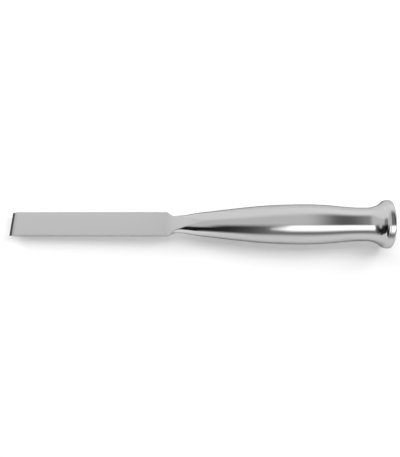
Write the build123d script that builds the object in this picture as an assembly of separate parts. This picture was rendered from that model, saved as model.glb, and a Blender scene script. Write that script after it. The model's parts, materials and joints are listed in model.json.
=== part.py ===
from build123d import *
import os
from math import cos, degrees, radians, sin, tan

# A bone osteotome, forged and ground from one bar of stainless steel.
# The tool is drawn along +X, with the cutting edge at x = 0 and the head at
# the right. Its width runs along Y and its thickness along Z. The last step
# lays it down as it comes to rest, with the origin under its middle.
# Sizes are in millimetres and degrees.

# Lengths along the tool, one after the other from the cutting edge
blade_length = 83.4
neck_length = 7.1
waist_length = 7.0
cone_start_length = 5.8
cone_length = 20.7
swell_length = 14.0
rest_land_length = 6.0
belly_length = 9.8
taper_length = 14.2
grip_length = 18.2
grip_land_length = 2.0
flare_length = 7.8
rim_length = 3.8
back_length = 0.7

# Blade
blade_width = 13.0
tip_thickness = 2.8
root_thickness = 3.15
edge_skew = 2.7
edge_land = 0.06
bevel_length = 2.6
bevel_round = 3.4
bevel_relief = 1.0
bevel_relief_length = 12.0

# Sloping shoulders between the blade and the neck, which they enter as a tongue
far_shoulder_length = 2.9
near_shoulder_setback = 0.6
near_shoulder_length = 3.5
shoulder_foot_inset = 0.36
shoulder_corner_round = 0.35
tongue_length = 3.5
tongue_end_inset = 1.66

# Flats that rise out of the blade's faces and run out into the round handle
flat_start_length = 2.0
flat_start_round = 12.0
flat_knee_length = 5.7
flat_knee_drop = 0.79
flat_knee_round = 48.0
flat_run_out = 1.0

# Handle diameters, from the neck to the grip in front of the head
neck_diameter = 9.36
waist_diameter = 11.46
cone_start_diameter = 13.02
swell_start_diameter = 17.78
rest_land_diameter = 20.06
belly_diameter = 21.02
taper_diameter = 19.96
grip_diameter = 17.36
neck_slope = 0.06

# Head
collar_diameter = 25.1
collar_front_round = 2.4
collar_rear_round = 1.2
striking_face_diameter = 16.0

# Stations along the tool that follow from the lengths
neck_station = blade_length + neck_length
waist_station = neck_station + waist_length
cone_start_station = waist_station + cone_start_length
swell_start_station = cone_start_station + cone_length
rest_land_station = swell_start_station + swell_length
rest_land_end_station = rest_land_station + rest_land_length
belly_station = rest_land_end_station + belly_length
taper_station = belly_station + taper_length
grip_station = taper_station + grip_length
flare_station = grip_station + grip_land_length
collar_front_station = flare_station + flare_length
collar_rear_station = collar_front_station + rim_length
length = collar_rear_station + back_length

# How finely the outline is read to find the resting tilt
outline_steps = 200
tilt_search_limit = 15.0
tilt_search_steps = 60


def rest_slope():
    """Slope of the land that the handle lies on, just flatter than the line to the collar."""
    rise = (collar_diameter - rest_land_diameter) / 2
    return rise / (collar_rear_station - rest_land_station)


def handle_outline():
    """The long curve of the round handle, from the shoulders to the flare."""
    neck_start = neck_diameter / 2 - neck_slope * neck_length
    neck = Line((blade_length, neck_start), (neck_station, neck_diameter / 2))
    rest_start = (rest_land_station, rest_land_diameter / 2)
    rest_end = (rest_land_end_station, rest_land_diameter / 2 + rest_land_length * rest_slope())
    front = Spline(
        (neck_station, neck_diameter / 2),
        (waist_station, waist_diameter / 2),
        (cone_start_station, cone_start_diameter / 2),
        (swell_start_station, swell_start_diameter / 2),
        rest_start,
        tangents=[(1, neck_slope), (1, rest_slope())],
    )
    rear = Spline(
        rest_end,
        (belly_station, belly_diameter / 2),
        (taper_station, taper_diameter / 2),
        (grip_station, grip_diameter / 2),
        tangents=[(1, rest_slope()), (1, 0)],
    )
    grip_land = Line((grip_station, grip_diameter / 2), (flare_station, grip_diameter / 2))
    return [neck, front, Line(rest_start, rest_end), rear, grip_land]


def head_outline():
    """Hollow flare, collar rim, crowned back and flat striking face."""
    rim = collar_diameter / 2
    flare_start = (flare_station, grip_diameter / 2)
    rim_front = (collar_front_station, rim)
    rim_rear = (collar_rear_station, rim)
    face_rim = (length, striking_face_diameter / 2)
    return [
        TangentArc(flare_start, rim_front, tangent=(1, 0)),
        Line(rim_front, rim_rear),
        TangentArc(face_rim, rim_rear, tangent=(0, 1)),
        Line(face_rim, (length, 0)),
    ]


def round_profile():
    """Half of the section of everything that is round, with its rounded rims."""
    cap = Line((blade_length, 0), handle_outline()[0] @ 0)
    axis = Line((length, 0), (blade_length, 0))
    profile = Face(Wire([cap, *handle_outline(), *head_outline(), axis]))
    rounds = [
        ((collar_front_station, collar_diameter / 2), collar_front_round),
        ((collar_rear_station, collar_diameter / 2), collar_rear_round),
    ]
    for corner, radius in rounds:
        vertex = profile.vertices().sort_by_distance(Vector(*corner))[0]
        profile = profile.fillet_2d(radius, [vertex])
    return profile


def blade_plan():
    """The blade from above: skewed edge, straight sides and sloping shoulders."""
    half = blade_width / 2
    foot = neck_diameter / 2 - shoulder_foot_inset
    tongue = neck_diameter / 2 - tongue_end_inset
    lead = half * tan(radians(edge_skew))
    near_shoulder_station = blade_length + near_shoulder_setback
    near_foot_station = near_shoulder_station + near_shoulder_length
    far_foot_station = blade_length + far_shoulder_length
    tongue_station = near_foot_station + tongue_length
    outline = FilletPolyline(
        (-lead, -half),
        (near_shoulder_station, -half),
        (near_foot_station, -foot),
        (tongue_station, -tongue),
        (tongue_station, tongue),
        (far_foot_station, foot),
        (blade_length, half),
        (lead, half),
        close=True,
        radius=[0, shoulder_corner_round, 0, 0, 0, 0, shoulder_corner_round, 0],
    )
    return Face(outline)


def side_section(upper, rounds):
    """A closed side view, mirrored about the middle plane of the blade."""
    lower = [(station, -height) for station, height in reversed(upper)]
    outline = FilletPolyline(*upper, *lower, close=True, radius=[*rounds, *reversed(rounds)])
    return Plane.XZ * Face(outline)


def edge_bevels():
    """Everything between the two bevels that meet in the skewed cutting edge."""
    clear = collar_diameter
    relief_end = bevel_length + bevel_relief_length
    relief_height = tip_thickness / 2 + bevel_relief_length * tan(radians(bevel_relief))
    section = side_section(
        [
            (0, edge_land / 2),
            (bevel_length, tip_thickness / 2),
            (relief_end, relief_height),
            (relief_end, clear),
            (length + clear, clear),
        ],
        [0, bevel_round, 0, 0, 0],
    )
    return Rot(0, 0, -edge_skew) * extrude(section, length, both=True)


def faces_and_flats():
    """Everything between the blade's faces and the flats that end in the handle."""
    clear = collar_diameter
    end_height = cone_start_diameter / 2
    exit_slope = flat_knee_drop / flat_knee_length
    run_out_station = cone_start_station + flat_run_out
    section = side_section(
        [
            (-blade_width, tip_thickness / 2),
            (0, tip_thickness / 2),
            (blade_length + flat_start_length, root_thickness / 2),
            (cone_start_station - flat_knee_length, end_height - flat_knee_drop),
            (run_out_station, end_height + flat_run_out * exit_slope),
            (run_out_station, clear),
            (length + clear, clear),
        ],
        [0, 0, flat_start_round, flat_knee_round, 0, 0, 0],
    )
    return extrude(section, clear, both=True)


def osteotome():
    """The whole tool, drawn along X."""
    handle = revolve(round_profile(), Axis.X)
    blade = extrude(blade_plan(), collar_diameter, both=True)
    return (handle + blade) & faces_and_flats() & edge_bevels()


def resting_tilt(balance_station):
    """The tilt at which the centre of mass lies lowest over the table."""
    touching = [Vector(0, edge_land / 2)]
    for edge in round_profile().edges():
        touching += [edge @ (step / outline_steps) for step in range(outline_steps + 1)]

    def height(tilt):
        support = max(point.Y * cos(tilt) - point.X * sin(tilt) for point in touching)
        return balance_station * sin(tilt) + support

    low = 0.0
    high = radians(tilt_search_limit)
    for _ in range(tilt_search_steps):
        third = (high - low) / 3
        if height(low + third) < height(high - third):
            high -= third
        else:
            low += third
    return degrees((low + high) / 2)


def laid_down(tool):
    """The tool as it rests on a table, with the origin under its middle."""
    lying = Rot(0, -resting_tilt(tool.center(CenterOf.MASS).X), 0) * tool
    box = lying.bounding_box()
    return Pos(-box.center().X, -box.center().Y, -box.min.Z) * lying


os.makedirs("parts", exist_ok=True)
export_step(laid_down(osteotome()), "parts/osteotome.step")
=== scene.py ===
"""Looks of a straight bone osteotome, forged from one bar and polished, lying on a pale table."""

import json
import logging
import math
from dataclasses import dataclass, field
from enum import Enum

import bmesh
import bpy
import numpy as np
from mathutils import Matrix, Vector


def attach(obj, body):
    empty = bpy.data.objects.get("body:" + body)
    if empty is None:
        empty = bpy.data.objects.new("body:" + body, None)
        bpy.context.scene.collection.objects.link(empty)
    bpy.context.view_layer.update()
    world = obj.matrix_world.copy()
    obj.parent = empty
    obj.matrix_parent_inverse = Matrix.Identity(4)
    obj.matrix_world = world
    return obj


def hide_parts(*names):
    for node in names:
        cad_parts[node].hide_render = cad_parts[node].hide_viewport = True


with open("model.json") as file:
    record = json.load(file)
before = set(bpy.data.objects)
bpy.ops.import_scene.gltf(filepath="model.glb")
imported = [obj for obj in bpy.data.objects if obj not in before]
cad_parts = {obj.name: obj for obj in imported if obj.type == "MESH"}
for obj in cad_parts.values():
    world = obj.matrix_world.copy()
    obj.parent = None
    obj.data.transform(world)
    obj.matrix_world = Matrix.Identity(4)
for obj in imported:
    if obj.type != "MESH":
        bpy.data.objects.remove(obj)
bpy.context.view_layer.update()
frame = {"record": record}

MM = 0.001
LOG = logging.getLogger("osteotome")
Socket = bpy.types.NodeSocket


def smooth_step(value: np.ndarray) -> np.ndarray:
    """Eases a value from 0 to 1.

    Args:
        value: Shares, which may lie outside 0 to 1.

    Returns:
        The eased shares, held between 0 and 1.
    """
    share = np.clip(value, 0.0, 1.0)
    return share * share * (3.0 - 2.0 * share)


def arc_points(
    centre: tuple[float, float], radius: float, start: float, end: float, count: int
) -> np.ndarray:
    """Points along a circular arc.

    Args:
        centre: Middle of the circle, in mm.
        radius: Radius of the circle, in mm.
        start: Angle of the first point, in radians.
        end: Angle of the last point, in radians.
        count: Number of points.

    Returns:
        An array of station and radius pairs, in mm.
    """
    angle = np.linspace(start, end, count)
    return np.column_stack([centre[0] + radius * np.cos(angle), centre[1] + radius * np.sin(angle)])


@dataclass(frozen=True)
class RoundedLine:
    """A chain of straight runs with round corners, read as a height over a station, in mm."""

    corners: tuple[tuple[float, float], ...]
    rounds: dict[int, float] = field(default_factory=dict)

    def height(self, station: np.ndarray) -> np.ndarray:
        """Reads the line.

        Args:
            station: Places along the tool, in mm.

        Returns:
            The line's height at each place, in mm.
        """
        places, heights = np.array(self.corners).T
        result = np.interp(station, places, heights)
        for index, radius in self.rounds.items():
            before, corner, after = (np.array(self.corners[index + step]) for step in (-1, 0, 1))
            lead_in = math.atan2(*(corner - before)[::-1])
            lead_out = math.atan2(*(after - corner)[::-1])
            side = math.copysign(1.0, lead_out - lead_in)
            reach = radius * math.tan(abs(lead_out - lead_in) / 2)
            first = corner - reach * np.array([math.cos(lead_in), math.sin(lead_in)])
            last_place = corner[0] + reach * math.cos(lead_out)
            centre = first + side * radius * np.array([-math.sin(lead_in), math.cos(lead_in)])
            arc = centre[1] - side * np.sqrt(np.maximum(radius**2 - (station - centre[0]) ** 2, 0.0))
            result = np.where((station > first[0]) & (station < last_place), arc, result)
        return result


@dataclass(frozen=True)
class SwellCurve:
    """A smooth curve through given points, which leaves and arrives with a set slope and pull."""

    points: tuple[tuple[float, float], ...]
    slopes: tuple[float, float]
    end_pulls: tuple[float, float]

    def pulls(self, knots: np.ndarray, runs: np.ndarray) -> np.ndarray:
        """Finds the pulls that let the curve bend evenly through every point.

        Args:
            knots: The given points.
            runs: Straight distances between them.

        Returns:
            The curve's direction and speed at each point.
        """
        last = len(knots) - 1
        system = np.eye(last + 1)
        wanted = np.zeros_like(knots)
        for knot, slope, pull in zip((0, last), self.slopes, self.end_pulls):
            wanted[knot] = pull * np.array([1.0, slope]) / math.hypot(1.0, slope)
        for knot in range(1, last):
            system[knot, knot - 1 : knot + 2] = (
                1 / runs[knot - 1],
                2 / runs[knot - 1] + 2 / runs[knot],
                1 / runs[knot],
            )
            wanted[knot] = 3 * (knots[knot] - knots[knot - 1]) / runs[knot - 1] ** 2
            wanted[knot] += 3 * (knots[knot + 1] - knots[knot]) / runs[knot] ** 2
        return np.linalg.solve(system, wanted)

    def trace(self, count: int) -> np.ndarray:
        """Follows the curve.

        Args:
            count: Number of points wanted, spread evenly along the curve.

        Returns:
            An array of station and radius pairs, in mm.
        """
        knots = np.array(self.points)
        runs = np.linalg.norm(np.diff(knots, axis=0), axis=1)
        pull = self.pulls(knots, runs)
        reach = np.concatenate([[0.0], np.cumsum(runs)])
        place = np.linspace(0.0, reach[-1], count)
        span = np.clip(np.searchsorted(reach, place) - 1, 0, len(runs) - 1)
        run = runs[span][:, None]
        part = (place - reach[span])[:, None] / run
        return (
            knots[span] * (1 + 2 * part) * (1 - part) ** 2
            + knots[span + 1] * part**2 * (3 - 2 * part)
            + run * (pull[span] * part * (1 - part) ** 2 - pull[span + 1] * part**2 * (1 - part))
        )


@dataclass(frozen=True)
class Blade:
    """The flat blade with its skewed, double-bevelled edge and its two sloping shoulders, in mm."""

    length: float = 83.4
    half_width: float = 6.5
    tip_half_thickness: float = 1.4
    edge_skew: float = math.radians(2.7)
    edge_half_land: float = 0.03
    bevel_length: float = 2.6
    bevel_round: float = 7.5
    bevel_relief: float = math.radians(1.0)
    bevel_relief_length: float = 12.0
    far_shoulder_length: float = 2.9
    near_shoulder_setback: float = 0.6
    near_shoulder_length: float = 3.5
    foot_half_width: float = 4.32
    tongue_length: float = 3.5
    tongue_half_width: float = 3.02
    shoulder_round: float = 0.35
    skew_fade_start: float = 4.0
    skew_fade_end: float = 40.0

    def side(self, direction: int) -> RoundedLine:
        """The plan outline of one side.

        Args:
            direction: 1 for the far side, -1 for the near side.

        Returns:
            The half width over the station.
        """
        if direction > 0:
            corner, foot = self.length, self.length + self.far_shoulder_length
        else:
            corner = self.length + self.near_shoulder_setback
            foot = corner + self.near_shoulder_length
        return RoundedLine(
            (
                (-self.half_width, self.half_width),
                (corner, self.half_width),
                (foot, self.foot_half_width),
                (self.tongue_end(), self.tongue_half_width),
            ),
            {1: self.shoulder_round},
        )

    def tongue_end(self) -> float:
        """Station at which the blade ends inside the neck."""
        return self.length + self.near_shoulder_setback + self.near_shoulder_length + self.tongue_length

    def bevel(self, distance: np.ndarray) -> np.ndarray:
        """Half the thickness that the bevels leave.

        Args:
            distance: Distances from the cutting edge, square to it.

        Returns:
            The half thickness at each distance, endless behind the bevels.
        """
        relief_end = self.bevel_length + self.bevel_relief_length
        relief_rise = self.bevel_relief_length * math.tan(self.bevel_relief)
        line = RoundedLine(
            (
                (0.0, self.edge_half_land),
                (self.bevel_length, self.tip_half_thickness),
                (relief_end, self.tip_half_thickness + relief_rise),
            ),
            {1: self.bevel_round},
        )
        return np.where(distance < relief_end, line.height(distance), math.inf)

    def skewed(self, ring: float, across: np.ndarray) -> np.ndarray:
        """Leans a ring with the cutting edge, less and less along the blade.

        Args:
            ring: Station of the ring on the tool's axis.
            across: Places across the blade.

        Returns:
            The station of each place on the ring.
        """
        fade = (self.skew_fade_end - ring) / (self.skew_fade_end - self.skew_fade_start)
        return ring + across * math.tan(self.edge_skew) * smooth_step(np.array(fade))

    def distance_from_edge(self, station: np.ndarray, across: np.ndarray) -> np.ndarray:
        """Distance from the cutting edge, square to it, of places in plan."""
        return station * math.cos(self.edge_skew) - across * math.sin(self.edge_skew)


@dataclass(frozen=True)
class Flats:
    """The two flats of the neck, which rise out of the blade and run out in the round handle, in mm.

    The ridge beside a flat is rounded, and the round grows from the blade's corner to the neck's.
    """

    root_station: float = 85.4
    root_half_thickness: float = 1.575
    root_round: float = 12.0
    knee_length: float = 5.7
    knee_drop: float = 0.79
    knee_round: float = 48.0
    end_station: float = 103.3
    end_half_thickness: float = 6.51
    run_out: float = 21.0
    corner_round: float = 0.16
    ridge_round: float = 0.45
    round_growth: tuple[float, float] = (82.0, 90.0)
    most_of_height: float = 0.45

    def knee_station(self) -> float:
        """Station at which the flats bend towards the run of the handle."""
        return self.end_station - self.knee_length

    def half_thickness(self, station: np.ndarray, tip: float) -> np.ndarray:
        """Half the thickness between the two faces.

        Args:
            station: Places along the tool.
            tip: Half thickness at the cutting end.

        Returns:
            The half thickness at each place.
        """
        run_out_rise = self.run_out * self.knee_drop / self.knee_length
        line = RoundedLine(
            (
                (0.0, tip),
                (self.root_station, self.root_half_thickness),
                (self.knee_station(), self.end_half_thickness - self.knee_drop),
                (self.end_station + self.run_out, self.end_half_thickness + run_out_rise),
            ),
            {1: self.root_round, 2: self.knee_round},
        )
        return line.height(station)

    def rounding(self, station: float, height: float) -> float:
        """How far the corner between a face and a side is rounded.

        Args:
            station: Place along the tool.
            height: Half thickness there.

        Returns:
            The radius of the round.
        """
        start, end = self.round_growth
        grow = float(smooth_step(np.array((station - start) / (end - start))))
        radius = self.corner_round + (self.ridge_round - self.corner_round) * grow
        return min(radius, self.most_of_height * height)


@dataclass(frozen=True)
class Handle:
    """The round handle from the shoulders to the flare, as stations and radii in mm."""

    start: tuple[float, float] = (83.4, 4.254)
    neck: tuple[float, float] = (90.5, 4.68)
    waist: tuple[float, float] = (97.5, 5.73)
    cone_start: tuple[float, float] = (103.3, 6.51)
    swell_start: tuple[float, float] = (124.0, 8.89)
    rest_start: tuple[float, float] = (138.0, 10.03)
    rest_length: float = 6.0
    belly: tuple[float, float] = (153.8, 10.51)
    taper: tuple[float, float] = (168.0, 9.98)
    grip: tuple[float, float] = (186.2, 8.68)
    neck_slope: float = 0.06
    rest_slope: float = 0.0407767
    front_pulls: tuple[float, float] = (1.1, 1.0)
    rear_pulls: tuple[float, float] = (0.95, 1.15)
    trace_points: int = 4001

    def rest_end(self) -> tuple[float, float]:
        """End of the straight land that the handle lies on."""
        station, radius = self.rest_start
        return (station + self.rest_length, radius + self.rest_length * self.rest_slope)

    def outline(self) -> np.ndarray:
        """Traces the handle.

        Returns:
            Station and radius pairs, close together.
        """
        front = SwellCurve(
            (self.neck, self.waist, self.cone_start, self.swell_start, self.rest_start),
            (self.neck_slope, self.rest_slope),
            self.front_pulls,
        )
        rear = SwellCurve(
            (self.rest_end(), self.belly, self.taper, self.grip),
            (self.rest_slope, 0.0),
            self.rear_pulls,
        )
        return np.vstack([[self.start], front.trace(self.trace_points), rear.trace(self.trace_points)])

    def radius(self, station: np.ndarray) -> np.ndarray:
        """The handle's radius at each station, and none in front of the shoulders."""
        places, radii = self.outline().T
        return np.interp(station, places, radii, left=0.0)


@dataclass(frozen=True)
class Head:
    """Hollow flare, collar rim, crowned back and flat striking face, in mm.

    The rim begins with a fine turned step, given as places behind the rim's front and their drop.
    """

    grip_radius: float = 8.68
    flare_station: float = 188.2
    collar_front_station: float = 196.0
    collar_rear_station: float = 199.8
    end_station: float = 200.5
    collar_radius: float = 12.55
    front_round: float = 2.4
    rear_round: float = 1.2
    face_radius: float = 8.0
    rim_step: tuple[tuple[float, float], ...] = (
        (0.90, 0.118),
        (0.97, 0.105),
        (1.03, 0.075),
        (1.09, 0.035),
        (1.17, 0.01),
        (1.30, 0.0),
    )
    flare_points: int = 36
    front_round_points: int = 12
    rim_points: int = 8
    rear_round_points: int = 8
    back_points: int = 16
    face_points: int = 12

    def front(self) -> np.ndarray:
        """Traces the flare, the round in front of the rim and the turned step.

        Returns:
            Station and radius pairs.
        """
        run = self.collar_front_station - self.flare_station
        rise = self.collar_radius - self.grip_radius
        flare = (run**2 + rise**2) / (2 * rise)
        flare_centre = (self.flare_station, self.grip_radius + flare)
        behind, drop = np.array(self.rim_step).T
        step = np.column_stack([self.collar_front_station + behind, self.collar_radius - drop])
        height = self.collar_radius - drop[0] - self.front_round
        reach = math.sqrt((flare + self.front_round) ** 2 - (flare_centre[1] - height) ** 2)
        centre = (self.flare_station + reach, height)
        into_round = math.atan2(height - flare_centre[1], reach)
        into_step = math.acos((step[0, 0] - centre[0]) / self.front_round)
        round_start = into_round + math.pi
        return np.vstack(
            [
                arc_points(flare_centre, flare, -math.pi / 2, into_round, self.flare_points),
                arc_points(centre, self.front_round, round_start, into_step, self.front_round_points)[1:-1],
                step,
            ]
        )

    def rear(self) -> np.ndarray:
        """Traces the round behind the rim, the crowned back and the striking face.

        Returns:
            Station and radius pairs.
        """
        drop = self.end_station - self.collar_rear_station
        crown = self.collar_radius - self.face_radius
        back = (drop**2 + crown**2) / (2 * drop)
        back_centre = (self.end_station - back, self.face_radius)
        height = self.collar_radius - self.rear_round
        reach = math.sqrt((back - self.rear_round) ** 2 - (height - self.face_radius) ** 2)
        centre = (back_centre[0] + reach, height)
        into_back = math.atan2(height - self.face_radius, reach)
        face = np.linspace(self.face_radius, 0.0, self.face_points)[1:]
        return np.vstack(
            [
                arc_points(centre, self.rear_round, math.pi / 2, into_back, self.rear_round_points),
                arc_points(back_centre, back, into_back, 0.0, self.back_points)[1:],
                np.column_stack([np.full(len(face), self.end_station), face]),
            ]
        )

    def outline(self) -> np.ndarray:
        """Traces the head from the flare to the middle of the striking face.

        Returns:
            Station and radius pairs, closest together where the form turns fastest.
        """
        front, rear = self.front(), self.rear()
        rim = np.linspace(front[-1], rear[0], self.rim_points)[1:-1]
        return np.vstack([front, rim, rear])


@dataclass(frozen=True)
class Lie:
    """How the tool lies on the table: its tilt, and the middle of its cutting edge in metres."""

    tilt: float
    edge_middle: Vector

    @classmethod
    def from_record(cls, record: dict, length: float) -> "Lie":
        """Reads the lie from the mount at the striking face.

        Args:
            record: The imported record.
            length: Length of the tool along its own axis, in mm.

        Returns:
            The lie.
        """
        face = next(mount for mount in record["mounts"] if mount["name"] == "striking_face")
        axis = Vector(face["axis"])
        return cls(math.atan2(axis.z, axis.x), Vector(face["pos_m"]) - axis * length * MM)

    def matrix(self) -> Matrix:
        """Takes tool axes in mm to the row frame in metres."""
        turn = Matrix.Rotation(-self.tilt, 4, "Y")
        return Matrix.Translation(self.edge_middle) @ turn @ Matrix.Scale(MM, 4)


@dataclass
class Osteotome:
    """The whole one-piece tool: one closed skin over blade, neck, handle and head.

    The skin is a row of rings. A span of rings on the blade is its first and last station, in mm,
    and the number of rings.
    """

    lie: Lie
    blade: Blade = field(default_factory=Blade)
    flats: Flats = field(default_factory=Flats)
    handle: Handle = field(default_factory=Handle)
    head: Head = field(default_factory=Head)
    flat_steps: int = 14
    ridge_steps: int = 5
    side_steps: int = 30
    blade_spans: tuple[tuple[float, float, int], ...] = (
        (0.0, 1.3, 6),
        (1.36, 3.4, 35),
        (4.0, 80.0, 44),
        (81.0, 83.0, 3),
        (83.1, 91.2, 82),
    )
    neck_start: float = 91.4
    neck_rings: int = 60
    point_length: float = 1.8
    point_rings: int = 24
    cone_length: float = 4.0
    cone_rings: int = 14
    cone_crowding: float = 1.5
    handle_gap: float = 4.2
    handle_rings: int = 120
    grip_rings: int = 6
    foot_softness: float = 0.06
    flare_softness: float = 1.15
    flare_reach: float = 2.5
    flare_samples: int = 41
    flare_fade_in: tuple[float, float] = (180.0, 183.0)
    flare_fade_out: tuple[float, float] = (191.5, 194.0)
    search_halvings: int = 60
    weld_distance: float = 1e-7
    speck_length: float = 1e-8
    sharp_angle: float = math.radians(32.0)

    def ridge_end(self) -> float:
        """Finds where the flats run out in the round handle.

        Returns:
            The station, in mm.
        """
        low, high = self.flats.knee_station(), self.handle.swell_start[0]
        for _ in range(self.search_halvings):
            middle = (low + high) / 2
            flat = self.flats.half_thickness(np.array(middle), self.blade.tip_half_thickness)
            if flat < self.handle.radius(np.array(middle)):
                low = middle
            else:
                high = middle
        return low

    def ring_stations(self) -> np.ndarray:
        """Stations of the rings from the cutting edge to the end of the ridges.

        Returns:
            The stations, in mm, closest together where the form turns fastest.
        """
        end = self.ridge_end()
        point_start = end - self.point_length
        left = 1.0 - np.linspace(0.0, 1.0, self.point_rings + 1)[1:]
        return np.concatenate(
            [
                *(np.linspace(*span) for span in self.blade_spans),
                np.linspace(self.neck_start, point_start, self.neck_rings),
                end - self.point_length * left**2,
            ]
        )

    def surface(self, ring: float, across: np.ndarray) -> np.ndarray:
        """Height of the upper face on a ring.

        Args:
            ring: Station of the ring on the tool's axis.
            across: Places across the tool.

        Returns:
            The height over the middle plane at each place, in mm.
        """
        station = self.blade.skewed(ring, across)
        face = self.flats.half_thickness(station, self.blade.tip_half_thickness)
        bevel = self.blade.bevel(self.blade.distance_from_edge(station, across))
        return np.minimum(face, bevel)

    def quarter(self, ring: float, direction: int) -> np.ndarray:
        """A quarter of a section with flats, from the middle of the upper flat to the side.

        Args:
            ring: Station of the ring on the tool's axis.
            direction: 1 for the far side, -1 for the near side.

        Returns:
            Points in tool axes, in mm.
        """
        radius = float(self.handle.radius(np.array(ring)))
        in_blade = ring < self.blade.tongue_end()
        half_width = float(self.blade.side(direction).height(np.array(ring))) if in_blade else 0.0
        height = float(self.surface(ring, np.array(direction * half_width)))
        rounding = self.flats.rounding(ring, height)
        round_middle = height - rounding
        on_handle = 0.0
        if radius > height:
            on_handle = math.sqrt(max((radius - rounding) ** 2 - round_middle**2, 0.0))
        walled = half_width - rounding > on_handle
        start = half_width - rounding if walled else on_handle
        turn = math.pi / 2 if walled else math.atan2(start, round_middle)

        share = 1.0 - (1.0 - np.linspace(0.0, 1.0, self.flat_steps + 1)) ** 2
        flat_across = start * share
        flat_height = self.surface(ring, direction * flat_across)
        angle = turn * np.linspace(0.0, 1.0, self.ridge_steps + 1)[1:]
        ridge_across = start + rounding * np.sin(angle)
        ridge_height = flat_height[-1] - rounding + rounding * np.cos(angle)

        ridge_turn = math.atan2(ridge_across[-1], ridge_height[-1])
        polar = np.linspace(ridge_turn, math.pi / 2, self.side_steps + 1)[1:]
        wall = half_width / np.sin(polar)
        soft = self.foot_softness if half_width > 0.0 and radius > 0.0 else 0.0
        reach = (wall + radius + np.sqrt((wall - radius) ** 2 + soft**2)) / 2
        across = direction * np.concatenate([flat_across, ridge_across, reach * np.sin(polar)])
        heights = np.concatenate([flat_height, ridge_height, reach * np.cos(polar)])
        return np.column_stack([self.blade.skewed(ring, across), across, heights])

    @staticmethod
    def closed(near: np.ndarray, far: np.ndarray) -> np.ndarray:
        """Closes two upper quarters of a section, which share their first point, into a ring.

        Args:
            near: Points from the crown to the near side.
            far: Points from the crown to the far side.

        Returns:
            Points from the near side over the top and back below.
        """
        upper = np.vstack([near[::-1], far[1:]])
        return np.vstack([upper, upper[-2:0:-1] * [1.0, 1.0, -1.0]])

    def flat_ring(self, ring: float) -> np.ndarray:
        """A closed ring round the blade or the neck."""
        return self.closed(self.quarter(ring, -1), self.quarter(ring, 1))

    def round_ring(self, station: float, radius: float) -> np.ndarray:
        """A closed ring round the handle or the head.

        Args:
            station: Place along the tool.
            radius: Radius of the ring.

        Returns:
            As many points as a ring with flats has, with the spare ones gathered at the crown.
        """
        gathered = np.zeros(self.flat_steps + self.ridge_steps)
        polar = np.concatenate([gathered, np.linspace(0.0, math.pi / 2, self.side_steps + 1)])
        places = np.full(len(polar), station)
        far = np.column_stack([places, radius * np.sin(polar), radius * np.cos(polar)])
        return self.closed(far * [1.0, -1.0, 1.0], far)

    def round_outline(self) -> np.ndarray:
        """Traces everything that is round, from the end of the ridges to the striking face.

        Returns:
            Station and radius pairs of the rings.
        """
        end = self.ridge_end()
        cone_share = np.linspace(0.0, 1.0, self.cone_rings + 2)[1:-1]
        cone = end + self.cone_length * cone_share**self.cone_crowding
        swell = np.linspace(end + self.handle_gap, self.handle.grip[0], self.handle_rings)
        grip = np.linspace(self.handle.grip[0], self.head.flare_station, self.grip_rings + 2)[1:-1]
        stations = np.concatenate([cone, swell, grip])
        radii = np.interp(stations, *self.handle.outline().T)
        return self.softened(np.vstack([np.column_stack([stations, radii]), self.head.outline()]))

    def softened(self, outline: np.ndarray) -> np.ndarray:
        """Lets the grip run softly into the flare.

        Args:
            outline: Station and radius pairs, in mm.

        Returns:
            The pairs with their radii averaged around the start of the flare.
        """
        stations, radii = outline.T
        last = np.flatnonzero(np.diff(stations) <= 0.0)[0]
        offsets = np.linspace(-self.flare_reach, self.flare_reach, self.flare_samples)
        weights = np.exp(-0.5 * (offsets / self.flare_softness) ** 2)
        nearby = np.interp(stations[:, None] + offsets, stations[:last], radii[:last])
        average = nearby @ weights / weights.sum()
        (in_start, in_end), (out_start, out_end) = self.flare_fade_in, self.flare_fade_out
        fade_in = smooth_step((stations - in_start) / (in_end - in_start))
        fade_out = smooth_step((out_end - stations) / (out_end - out_start))
        return np.column_stack([stations, radii + fade_in * fade_out * (average - radii)])

    @staticmethod
    def faces(rings: int, around: int) -> list[tuple[int, int, int, int]]:
        """Joins neighbouring rings with faces, and closes the cutting edge.

        Args:
            rings: Number of rings.
            around: Number of points in each.

        Returns:
            The corners of each face.
        """
        faces = []
        for ring in range(rings - 1):
            for place in range(around):
                following = (place + 1) % around
                here, there = ring * around, (ring + 1) * around
                faces.append((here + place, here + following, there + following, there + place))
        for place in range(around // 2):
            faces.append((place, (around - place) % around, around - place - 1, place + 1))
        return faces

    def build(self) -> bpy.types.Object:
        """Makes the closed skin of the tool.

        Returns:
            The new mesh object, in the row frame.
        """
        rings = [self.flat_ring(ring) for ring in self.ring_stations()]
        rings += [self.round_ring(*pair) for pair in self.round_outline()]
        points = [tuple(point) for point in np.vstack(rings)]
        mesh = bpy.data.meshes.new("osteotome_skin")
        mesh.from_pydata(points, [], self.faces(len(rings), len(rings[0])))
        mesh.transform(self.lie.matrix())
        self.clean(mesh)
        tool = bpy.data.objects.new("osteotome_skin", mesh)
        bpy.context.scene.collection.objects.link(tool)
        return tool

    def clean(self, mesh: bpy.types.Mesh) -> None:
        """Welds gathered points, drops faces of no area and shades the skin smooth.

        Args:
            mesh: The mesh to clean.
        """
        skin = bmesh.new()
        skin.from_mesh(mesh)
        bmesh.ops.remove_doubles(skin, verts=skin.verts, dist=self.weld_distance)
        bmesh.ops.dissolve_degenerate(skin, edges=skin.edges, dist=self.speck_length)
        bmesh.ops.recalc_face_normals(skin, faces=skin.faces)
        skin.to_mesh(mesh)
        skin.free()
        mesh.shade_smooth()
        mesh.set_sharp_from_angle(angle=self.sharp_angle)


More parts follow.
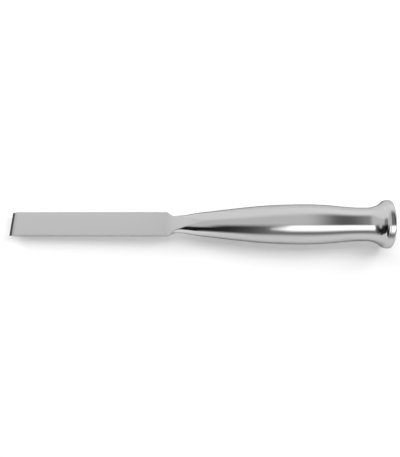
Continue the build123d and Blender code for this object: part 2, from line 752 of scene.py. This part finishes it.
@dataclass(frozen=True)
class PhotoCamera:
    """A view from a hand's reach above the table, a little from the near side."""

    turn: float = math.radians(2.3)
    roll: float = math.radians(18.8)
    middle_station: float = 100.87
    scale_mm: float = 0.527
    focal_px: float = 591.0
    axis_rise_px: float = 4.1
    frame_height_px: int = 457
    sensor_mm: float = 36.0
    nearest: float = 0.01

    def build(self, lie: Lie) -> bpy.types.Object:
        """Sets up the camera.

        Args:
            lie: How the tool lies on the table.

        Returns:
            The camera object.
        """
        turned, rolled = math.sin(self.turn), math.sin(self.roll)
        square, level = math.cos(self.turn), math.cos(self.roll)
        to_row = lie.matrix()
        turn_only = to_row.to_3x3().normalized()
        right = turn_only @ Vector((square, turned * rolled, -turned * level))
        up = turn_only @ Vector((0.0, level, rolled))
        back = turn_only @ Vector((turned, -rolled * square, level * square))
        target = to_row @ Vector((self.middle_station, 0.0, 0.0))
        place = target + (back * self.focal_px - up * self.axis_rise_px) * self.scale_mm * MM
        camera = bpy.data.objects.new("camera", bpy.data.cameras.new("camera"))
        camera.data.sensor_width = self.sensor_mm
        camera.data.lens = self.sensor_mm * self.focal_px / self.frame_height_px
        camera.data.clip_start = self.nearest
        camera.matrix_world = Matrix.Translation(place) @ Matrix((right, up, back)).transposed().to_4x4()
        bpy.context.scene.collection.objects.link(camera)
        bpy.context.scene.camera = camera
        return camera


@dataclass(frozen=True)
class SoftEdge:
    """A soft step: where it starts, where it ends, and the numbers before and behind it."""

    start: float
    end: float
    low: float = 0.0
    high: float = 1.0


@dataclass
class NodeSheet:
    """Writes sums, soft edges and shaders into a node tree in few words."""

    tree: bpy.types.NodeTree

    @classmethod
    def emptied(cls, owner: bpy.types.Material | bpy.types.World) -> "NodeSheet":
        """Starts an empty node tree.

        Args:
            owner: The material or world that the tree belongs to.

        Returns:
            The sheet for it.
        """
        owner.use_nodes = True
        owner.node_tree.nodes.clear()
        return cls(owner.node_tree)

    def add(self, kind: str, **settings: object) -> bpy.types.Node:
        """Adds a node.

        Args:
            kind: The node's type name.
            settings: Attributes to set on it.

        Returns:
            The new node.
        """
        node = self.tree.nodes.new(kind)
        for name, value in settings.items():
            setattr(node, name, value)
        return node

    def feed(self, socket: Socket, value: object) -> None:
        """Links a socket to another one, or sets it to a plain value.

        Args:
            socket: The input that is fed.
            value: A socket or a plain value.
        """
        if isinstance(value, Socket):
            self.tree.links.new(value, socket)
        else:
            socket.default_value = value

    def sum(self, operation: str, *values: object) -> Socket:
        """Works out a sum of numbers.

        Args:
            operation: Name of the sum, as the Math node has it.
            values: Sockets or plain numbers.

        Returns:
            The socket that holds the result.
        """
        node = self.add("ShaderNodeMath", operation=operation)
        for socket, value in zip(node.inputs, values):
            self.feed(socket, value)
        return node.outputs[0]

    def ease(self, value: object, edge: SoftEdge) -> Socket:
        """Takes a number over a soft step.

        Args:
            value: What is read.
            edge: The step.

        Returns:
            The socket that holds the result.
        """
        node = self.add("ShaderNodeMapRange", interpolation_type="SMOOTHSTEP")
        names = ("Value", "From Min", "From Max", "To Min", "To Max")
        for name, entry in zip(names, (value, edge.start, edge.end, edge.low, edge.high)):
            self.feed(node.inputs[name], entry)
        return node.outputs[0]

    def blend(self, share: object, first: object, second: object) -> Socket:
        """Goes from one number to another.

        Args:
            share: How much of the second number is taken.
            first: The number at a share of 0.
            second: The number at a share of 1.

        Returns:
            The socket that holds the result.
        """
        node = self.add("ShaderNodeMix", data_type="FLOAT", clamp_factor=True)
        for index, value in zip((0, 2, 3), (share, first, second)):
            self.feed(node.inputs[index], value)
        return node.outputs[0]

    def split(self, vector: Socket) -> tuple[Socket, ...]:
        """Takes a vector apart.

        Args:
            vector: The vector's socket.

        Returns:
            The sockets of its three numbers.
        """
        node = self.add("ShaderNodeSeparateXYZ")
        self.feed(node.inputs[0], vector)
        return tuple(node.outputs)

    def place(self) -> Socket:
        """Where a point lies on its own object."""
        return self.add("ShaderNodeTexCoord").outputs["Object"]

    def rays(self) -> tuple[Socket, Socket]:
        """Tells what kind of ray looks at a point.

        Returns:
            A socket that is 1 for the camera's own rays, and one that is 1 for mirrored rays.
        """
        ray = self.add("ShaderNodeLightPath").outputs
        return ray["Is Camera Ray"], self.sum("MAXIMUM", ray["Is Glossy Ray"], ray["Is Transmission Ray"])

    def glow(self, strength: object) -> Socket:
        """Adds a surface that gives off light of its own.

        Args:
            strength: Its brightness, where 1 is white.

        Returns:
            The shader's socket.
        """
        node = self.add("ShaderNodeEmission")
        self.feed(node.inputs["Strength"], strength)
        return node.outputs[0]

    def show(self, shader: Socket, output: str = "ShaderNodeOutputMaterial") -> None:
        """Sends a shader to the output of the tree."""
        self.feed(self.add(output).inputs["Surface"], shader)


def level_rectangle(
    name: str, x: tuple[float, float], y: tuple[float, float], height: float
) -> bpy.types.Mesh:
    """Makes a level rectangle.

    Args:
        name: Name of the mesh.
        x: Its left and right end, in metres.
        y: Its near and far side, in metres.
        height: Its height over the table, in metres.

    Returns:
        The new mesh.
    """
    mesh = bpy.data.meshes.new(name)
    corners = [(x[0], y[0], height), (x[1], y[0], height), (x[1], y[1], height), (x[0], y[1], height)]
    mesh.from_pydata(corners, [], [(0, 1, 2, 3)])
    return mesh


def studio_piece(mesh: bpy.types.Mesh, material: bpy.types.Material, metal_alone: bool) -> bpy.types.Object:
    """Puts a mesh of the studio into the scene. Its glow is no lamp to other surfaces.

    Args:
        mesh: The mesh.
        material: Its material.
        metal_alone: Whether only mirrored rays see it.

    Returns:
        The new object.
    """
    material.cycles.emission_sampling = "NONE"
    mesh.materials.append(material)
    piece = bpy.data.objects.new(mesh.name, mesh)
    if metal_alone:
        for kind in ("camera", "diffuse", "transmission", "volume_scatter", "shadow"):
            setattr(piece, f"visible_{kind}", False)
    bpy.context.scene.collection.objects.link(piece)
    return piece


@dataclass(frozen=True)
class PaperTent:
    """A pale half round tent over the tool, with a long softbox and dark flags, seen by metal alone.

    Sizes are in metres. Places on the paper are given in mm along the tool, and in degrees of turn
    from overhead, positive on the far side. A brightness of 1 is white.
    """

    radius: float = 0.3
    axis_height: float = 0.01
    half_length: float = 2.5
    turn_limit: float = math.radians(92.0)
    steps: int = 48

    overhead: float = 0.585
    far_side: float = 0.79
    far_side_gain: SoftEdge = SoftEdge(0.0, 220.0, 0.0, 0.07)
    far_foot: float = 0.72
    far_foot_turn: SoftEdge = SoftEdge(84.0, 93.0)
    crest_turn: float = 31.0
    crest_lean: float = 0.12
    crest_lowest: float = 20.0
    crest_highest: float = 41.0
    crest_edge: SoftEdge = SoftEdge(-15.0, 15.0)

    flag_share: float = 0.82
    flag_along: SoftEdge = SoftEdge(75.0, 190.0)
    flag_turn: SoftEdge = SoftEdge(58.0, 27.0)

    wall_glow: SoftEdge = SoftEdge(-75.0, 60.0, 0.015, 0.21)
    wall_turn: SoftEdge = SoftEdge(-12.0, -41.0)
    horizon_glow: SoftEdge = SoftEdge(-73.0, -92.0, 0.0, 0.42)
    horizon_along: SoftEdge = SoftEdge(-112.0, -84.0)
    neck_glow: SoftEdge = SoftEdge(-34.0, -54.0, 0.6, 0.01)
    neck_right: SoftEdge = SoftEdge(-70.0, -90.0)
    neck_left: SoftEdge = SoftEdge(-175.0, -155.0)

    softbox: float = 1.5
    softbox_turn: float = -45.0
    softbox_upper: SoftEdge = SoftEdge(-20.0, -31.0)
    softbox_lower: SoftEdge = SoftEdge(-68.0, -47.0)
    softbox_end: SoftEdge = SoftEdge(16.0, 50.0)
    softbox_bevel: float = -0.7

    near_left_dim: SoftEdge = SoftEdge(-560.0, -330.0, 0.38, 1.0)
    far_left_dim: SoftEdge = SoftEdge(-730.0, -630.0, 0.09, 1.0)
    far_turn: SoftEdge = SoftEdge(20.0, 50.0)

    def upper(self, sheet: NodeSheet, along: Socket, turn: Socket) -> Socket:
        """Brightness overhead and on the far side, with the flag beside the head.

        Args:
            sheet: Where the nodes go.
            along: Place along the tool.
            turn: Turn from overhead.

        Returns:
            The socket that holds it.
        """
        crest = sheet.sum("MULTIPLY_ADD", along, self.crest_lean, self.crest_turn)
        crest = sheet.sum("MAXIMUM", sheet.sum("MINIMUM", crest, self.crest_highest), self.crest_lowest)
        side = sheet.sum("ADD", self.far_side, sheet.ease(along, self.far_side_gain))
        side = sheet.blend(sheet.ease(turn, self.far_foot_turn), side, self.far_foot)
        rise = sheet.ease(sheet.sum("SUBTRACT", turn, crest), self.crest_edge)
        paper = sheet.blend(rise, self.overhead, side)
        flag = sheet.sum("MULTIPLY", sheet.ease(along, self.flag_along), sheet.ease(turn, self.flag_turn))
        return sheet.blend(sheet.sum("MULTIPLY", flag, self.flag_share), paper, 0.0)

    def wall(self, sheet: NodeSheet, along: Socket, turn: Socket) -> Socket:
        """Brightness of the near side, which is dark but for its foot and the part by the neck.

        Args:
            sheet: Where the nodes go.
            along: Place along the tool.
            turn: Turn from overhead.

        Returns:
            The socket that holds it.
        """
        horizon = sheet.ease(turn, self.horizon_glow)
        horizon = sheet.sum("MULTIPLY", horizon, sheet.ease(along, self.horizon_along))
        wall = sheet.sum("ADD", sheet.ease(along, self.wall_glow), horizon)
        neck = sheet.ease(turn, self.neck_glow)
        beside = sheet.sum("MULTIPLY", sheet.ease(along, self.neck_right), sheet.ease(along, self.neck_left))
        return sheet.blend(beside, wall, neck)

    def softbox_share(self, sheet: NodeSheet, along: Socket, turn: Socket) -> Socket:
        """Where the softbox is, with its end cut to a point.

        Args:
            sheet: Where the nodes go.
            along: Place along the tool.
            turn: Turn from overhead.

        Returns:
            The socket that is 1 on the softbox.
        """
        off_middle = sheet.sum("ABSOLUTE", sheet.sum("SUBTRACT", turn, self.softbox_turn))
        inward = sheet.sum("MULTIPLY_ADD", off_middle, self.softbox_bevel, along)
        band = sheet.ease(turn, self.softbox_upper)
        band = sheet.sum("MULTIPLY", band, sheet.ease(turn, self.softbox_lower))
        return sheet.sum("MULTIPLY", band, sheet.ease(inward, self.softbox_end))

    def strength(self, sheet: NodeSheet) -> Socket:
        """How bright the tent is from place to place.

        Args:
            sheet: Where the nodes go.

        Returns:
            The socket that holds the strength.
        """
        x, y, z = sheet.split(sheet.place())
        along = sheet.sum("MULTIPLY", x, 1.0 / MM)
        turn = sheet.sum("MULTIPLY", sheet.sum("ARCTAN2", y, z), math.degrees(1.0))
        paper, wall = self.upper(sheet, along, turn), self.wall(sheet, along, turn)
        paper = sheet.blend(sheet.ease(turn, self.wall_turn), paper, wall)
        paper = sheet.blend(self.softbox_share(sheet, along, turn), paper, self.softbox)
        near_dim, far_dim = sheet.ease(along, self.near_left_dim), sheet.ease(along, self.far_left_dim)
        return sheet.sum("MULTIPLY", paper, sheet.blend(sheet.ease(turn, self.far_turn), near_dim, far_dim))

    def build(self) -> bpy.types.Object:
        """Sets up the tent.

        Returns:
            The tent's object.
        """
        turns = np.linspace(-self.turn_limit, self.turn_limit, self.steps + 1)
        points = [
            (end, self.radius * math.sin(turn), self.radius * math.cos(turn))
            for turn in turns
            for end in (-self.half_length, self.half_length)
        ]
        faces = [(2 * step, 2 * step + 1, 2 * step + 3, 2 * step + 2) for step in range(self.steps)]
        mesh = bpy.data.meshes.new("tent")
        mesh.from_pydata(points, [], faces)
        material = bpy.data.materials.new("tent_paper")
        sheet = NodeSheet.emptied(material)
        sheet.show(sheet.glow(self.strength(sheet)))
        tent = studio_piece(mesh, material, metal_alone=True)
        tent.location = (0.0, 0.0, self.axis_height)
        return tent


@dataclass(frozen=True)
class DarkCard:
    """A flat dark card that lies on the table and is seen by metal alone, in metres."""

    name: str
    left: float
    right: float
    near: float
    far: float
    height: float = 0.0004
    glow: float = 0.12

    def build(self) -> bpy.types.Object:
        """Lays the card.

        Returns:
            The card's object.
        """
        mesh = level_rectangle(self.name, (self.left, self.right), (self.near, self.far), self.height)
        material = bpy.data.materials.new(self.name)
        sheet = NodeSheet.emptied(material)
        sheet.show(sheet.glow(self.glow))
        return studio_piece(mesh, material, metal_alone=True)


@dataclass(frozen=True)
class Table:
    """The pale table top, which shows white to the camera and keeps the tool's shadow.

    Distances are in metres from the middle of the tool.
    """

    half_size: float = 2.0
    colour: float = 0.8
    camera_glow: SoftEdge = SoftEdge(0.07, 0.45, 0.275, 0.85)
    # Painted shade: to mirrored rays the table is a darker grey than to the camera and the lamps, so the
    # metal shows it darker.
    painted_shade_colour: float = 0.72
    # Painted light: the table glows to mirrored rays where it lies under the blade, which lightens the
    # tool's shadow there as the metal sees it.
    metal_glow: SoftEdge = SoftEdge(0.01, -0.02, 0.0, 0.2)

    def build(self) -> bpy.types.Object:
        """Lays the table top.

        Returns:
            The table's object.
        """
        reach = (-self.half_size, self.half_size)
        material = bpy.data.materials.new("table_top")
        sheet = NodeSheet.emptied(material)
        camera, mirrored = sheet.rays()
        # Painted shade: mirrored rays see the table in a darker grey than the camera does.
        grey = sheet.add("ShaderNodeCombineColor")
        for socket in grey.inputs:
            sheet.feed(socket, sheet.blend(mirrored, self.colour, self.painted_shade_colour))
        plain = sheet.add("ShaderNodeBsdfDiffuse")
        sheet.feed(plain.inputs["Color"], grey.outputs[0])
        spot = sheet.place()
        away = sheet.add("ShaderNodeVectorMath", operation="LENGTH")
        sheet.feed(away.inputs[0], spot)
        paleness = sheet.sum("MULTIPLY", camera, sheet.ease(away.outputs["Value"], self.camera_glow))
        # Painted light under the blade, seen by mirrored rays only: it lightens the tool's shadow in the
        # blade's reflection.
        painted_light_under_blade = sheet.sum("MULTIPLY", mirrored, sheet.ease(sheet.split(spot)[0], self.metal_glow))
        both = sheet.add("ShaderNodeAddShader")
        sheet.feed(both.inputs[0], plain.outputs[0])
        sheet.feed(both.inputs[1], sheet.glow(sheet.sum("ADD", paleness, painted_light_under_blade)))
        sheet.show(both.outputs[0])
        return studio_piece(level_rectangle("table_top", reach, reach, 0.0), material, metal_alone=False)


class Side(Enum):
    """Where a lamp stands, as its turn towards the head end in degrees."""

    EDGE_END = -40.0
    MIDDLE = 0.0
    HEAD_END = 40.0


@dataclass(frozen=True)
class SoftLamp:
    """A square soft lamp that looks at the middle of the tool and isn't mirrored in it.

    It climbs in degrees from the far side, over the top, to the near side.
    """

    name: str
    side: Side
    climb: float
    size: float
    watts: float
    distance: float = 0.8

    def build(self) -> bpy.types.Object:
        """Hangs the lamp.

        Returns:
            The lamp's object.
        """
        side, climb = math.radians(self.side.value), math.radians(self.climb)
        level = math.cos(side)
        away = Vector((math.sin(side), level * math.cos(climb), level * math.sin(climb)))
        lamp = bpy.data.objects.new(self.name, bpy.data.lights.new(self.name, "AREA"))
        lamp.data.shape = "SQUARE"
        lamp.data.size = self.size
        lamp.data.energy = self.watts
        lamp.location = away * self.distance
        lamp.rotation_euler = (-away).to_track_quat("-Z", "Y").to_euler()
        lamp.visible_glossy = False
        bpy.context.scene.collection.objects.link(lamp)
        return lamp


@dataclass(frozen=True)
class Studio:
    """Soft lamps all round, most of them on the far side, and the surroundings."""

    lamps: tuple[SoftLamp, ...] = (
        SoftLamp("far_left_lamp", Side.EDGE_END, 43.0, 0.42, 3.15),
        SoftLamp("far_right_lamp", Side.HEAD_END, 70.0, 0.42, 2.95),
        SoftLamp("overhead_lamp", Side.MIDDLE, 78.0, 0.46, 2.15),
        SoftLamp("near_lamp", Side.MIDDLE, 140.0, 0.3, 0.8),
        SoftLamp("near_right_lamp", Side.HEAD_END, 155.0, 0.26, 1.3),
    )
    fill: float = 0.0
    metal_fill: float = 0.3

    def build(self) -> bpy.types.World:
        """Hangs the lamps and sets up the world.

        Returns:
            The world.
        """
        for lamp in self.lamps:
            lamp.build()
        world = bpy.data.worlds.new("studio")
        sheet = NodeSheet.emptied(world)
        camera, mirrored = sheet.rays()
        strength = sheet.blend(camera, sheet.blend(mirrored, self.fill, self.metal_fill), 1.0)
        sky = sheet.add("ShaderNodeBackground")
        sheet.feed(sky.inputs["Strength"], strength)
        sky.inputs["Color"].default_value = (1.0, 1.0, 1.0, 1.0)
        sheet.show(sky.outputs[0], "ShaderNodeOutputWorld")
        bpy.context.scene.world = world
        return world


@dataclass(frozen=True)
class Streaks:
    """Fine marks in one direction, as noise drawn out along the coordinate with the smallest scale."""

    first: float
    second: float
    third: float
    detail: float = 3.0

    def height(self, sheet: NodeSheet, *parts: Socket) -> Socket:
        """Draws the marks.

        Args:
            sheet: Where the nodes go.
            parts: The three coordinates that the scales belong to.

        Returns:
            The socket that holds the height of the marks, from 0 to 1.
        """
        vector = sheet.add("ShaderNodeCombineXYZ")
        for socket, part, scale in zip(vector.inputs, parts, (self.first, self.second, self.third)):
            sheet.feed(socket, sheet.sum("MULTIPLY", part, scale))
        noise = sheet.add("ShaderNodeTexNoise")
        noise.inputs["Scale"].default_value = 1.0
        noise.inputs["Detail"].default_value = self.detail
        sheet.feed(noise.inputs["Vector"], vector.outputs[0])
        return noise.outputs["Fac"]


@dataclass(frozen=True)
class PolishedSteel:
    """Bright stainless steel: buffed handle and head, and a finely ground blade.

    The marks of the wheel run along the blade and round the handle, and in rings on the striking
    face. Stations are in mm from the cutting edge.
    """

    reflectance: float = 0.75
    edge_tint: float = 0.75
    handle_roughness: float = 0.1
    head_roughness: float = 0.14
    bevel_roughness: float = 0.13
    blade_roughness: float = 0.24
    bevel_edge: tuple[float, float] = (1.4, 2.4)
    ground_edge: SoftEdge = SoftEdge(99.0, 84.0)
    head_edge: tuple[float, float] = (189.0, 192.0)
    face_edge: SoftEdge = SoftEdge(199.9, 200.2)
    smudge: float = 0.035
    smudge_scale: float = 90.0
    smudge_detail: float = 4.0
    blade_marks: Streaks = Streaks(260.0, 7000.0, 7000.0)
    round_marks: Streaks = Streaks(5200.0, 2.2, 300.0)
    face_marks: Streaks = Streaks(6500.0, 1.6, 300.0)
    mark_depth_mm: float = 0.0012

    @staticmethod
    def tool_place(sheet: NodeSheet, lie: Lie) -> Socket:
        """The place in the tool's own axes.

        Args:
            sheet: Where the nodes go.
            lie: How the tool lies, which gives the direction of its own axis.

        Returns:
            The socket that holds the place, in metres from the cutting edge.
        """
        move = sheet.add("ShaderNodeVectorMath", operation="SUBTRACT")
        sheet.feed(move.inputs[0], sheet.place())
        move.inputs[1].default_value = lie.edge_middle
        turned = sheet.add("ShaderNodeVectorRotate", rotation_type="Y_AXIS")
        sheet.feed(turned.inputs["Vector"], move.outputs[0])
        turned.inputs["Angle"].default_value = lie.tilt
        return turned.outputs[0]

    def marks(self, sheet: NodeSheet, place: Socket, ground: Socket) -> Socket:
        """Fine marks of grinding and buffing.

        Args:
            sheet: Where the nodes go.
            place: The place in tool axes, in metres.
            ground: Share of the ground finish.

        Returns:
            The socket that holds the height of the marks, from 0 to 1.
        """
        along, across, height = sheet.split(place)
        turn = sheet.sum("ARCTAN2", across, height)
        squares = [sheet.sum("POWER", part, 2.0) for part in (across, height)]
        outward = sheet.sum("SQRT", sheet.sum("ADD", *squares))
        lengthwise = self.blade_marks.height(sheet, along, across, height)
        around = self.round_marks.height(sheet, along, turn, outward)
        rings = self.face_marks.height(sheet, outward, turn, along)
        on_face = sheet.ease(sheet.sum("MULTIPLY", along, 1.0 / MM), self.face_edge)
        return sheet.blend(ground, sheet.blend(on_face, around, rings), lengthwise)

    def roughness(
        self, sheet: NodeSheet, station: Socket, ground: Socket, unevenness: tuple[Socket, ...]
    ) -> Socket:
        """Roughness from place to place.

        Args:
            sheet: Where the nodes go.
            station: Distance from the cutting edge, in mm.
            ground: Share of the ground finish.
            unevenness: Patterns from 0 to 1 that make the finish rougher or finer.

        Returns:
            The socket that holds the roughness.
        """
        handle = sheet.ease(station, SoftEdge(*self.head_edge, self.handle_roughness, self.head_roughness))
        blade = sheet.ease(station, SoftEdge(*self.bevel_edge, self.bevel_roughness, self.blade_roughness))
        roughness = sheet.blend(ground, handle, blade)
        for pattern in unevenness:
            change = sheet.sum("MULTIPLY_ADD", pattern, self.smudge, -0.5 * self.smudge)
            roughness = sheet.sum("ADD", roughness, change)
        return roughness

    def material(self, lie: Lie) -> bpy.types.Material:
        """Makes the finish.

        Args:
            lie: How the tool lies, which gives the direction of its own axis.

        Returns:
            The new material.
        """
        material = bpy.data.materials.new("polished_steel")
        sheet = NodeSheet.emptied(material)
        place = self.tool_place(sheet, lie)
        station = sheet.sum("MULTIPLY", sheet.split(place)[0], 1.0 / MM)
        ground = sheet.ease(station, self.ground_edge)
        marks = self.marks(sheet, place, ground)
        patches = sheet.add("ShaderNodeTexNoise")
        patches.inputs["Scale"].default_value = self.smudge_scale
        patches.inputs["Detail"].default_value = self.smudge_detail
        sheet.feed(patches.inputs["Vector"], place)
        bump = sheet.add("ShaderNodeBump")
        bump.inputs["Strength"].default_value = 1.0
        bump.inputs["Distance"].default_value = self.mark_depth_mm * MM
        sheet.feed(bump.inputs["Height"], marks)
        metal = sheet.add("ShaderNodeBsdfPrincipled")
        metal.inputs["Base Color"].default_value = (*[self.reflectance] * 3, 1.0)
        metal.inputs["Specular Tint"].default_value = (*[self.edge_tint] * 3, 1.0)
        metal.inputs["Metallic"].default_value = 1.0
        roughness = self.roughness(sheet, station, ground, (patches.outputs["Fac"], marks))
        sheet.feed(metal.inputs["Roughness"], roughness)
        sheet.feed(metal.inputs["Normal"], bump.outputs[0])
        sheet.show(metal.outputs[0])
        return material


def main() -> None:
    """Builds the tool and its studio and reports each piece."""
    logging.basicConfig(level=logging.INFO, format="%(name)s: %(message)s")
    head = Head()
    tool = Osteotome(Lie.from_record(frame["record"], head.end_station), head=head)
    skin = tool.build()
    skin.data.materials.append(PolishedSteel().material(tool.lie))
    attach(skin, "root")
    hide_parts("osteotome")
    LOG.info("%s: %d faces", skin.name, len(skin.data.polygons))
    camera = PhotoCamera().build(tool.lie)
    LOG.info("%s: lens %.1f mm", camera.name, camera.data.lens)
    surroundings = (
        Table(),
        PaperTent(),
        DarkCard("far_card", -0.9, 0.9, 0.013, 0.032, glow=0.45),
        DarkCard("left_card", -2.5, -0.13, -0.3, 0.013),
    )
    for part in surroundings:
        piece = part.build()
        LOG.info("%s: in place", piece.name)
    world = Studio().build()
    LOG.info("%s: lamps and world in place", world.name)
    bpy.context.scene.view_settings.view_transform = "Standard"


if __name__ == "__main__":
    main()
